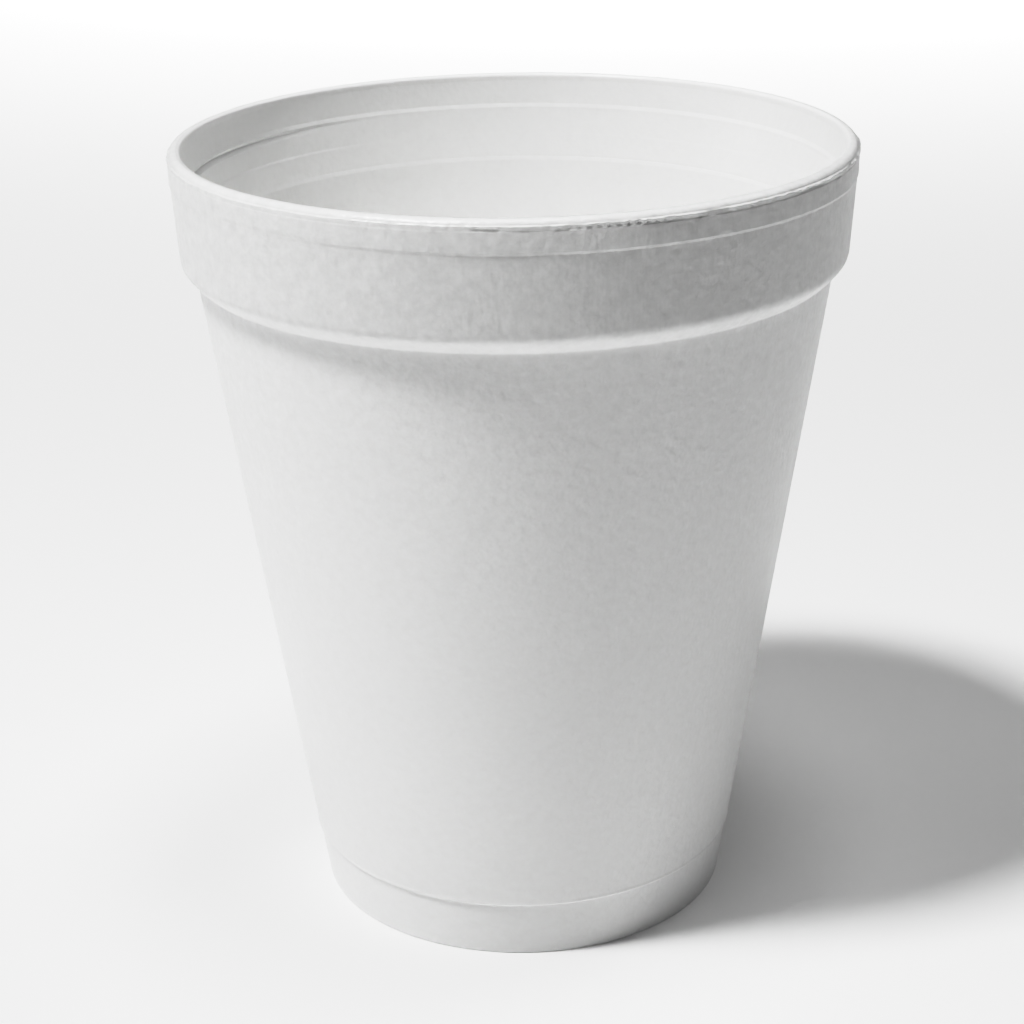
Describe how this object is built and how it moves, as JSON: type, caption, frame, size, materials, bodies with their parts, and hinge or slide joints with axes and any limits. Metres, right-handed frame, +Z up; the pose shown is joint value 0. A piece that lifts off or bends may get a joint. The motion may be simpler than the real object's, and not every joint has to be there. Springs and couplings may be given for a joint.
{
  "type": "foam cup",
  "caption": "Empty tapered drinking cup moulded in expanded polystyrene, with a rounded lip, a broad collar, a plain body and a recessed foot.",
  "frame": {"origin": "centre of the foot on the standing plane", "axes": "+Z up along the cup's axis, from the foot to the lip; the cup is round, so +X and +Y are free"},
  "size_m": [0.09, 0.09, 0.1057],
  "materials": {
    "foam": "white moulded expanded polystyrene, fused-bead skin, matte with a faint satin sheen"
  },
  "bodies": {
    "root": {"cup": "foam"}
  },
  "joints": []
}
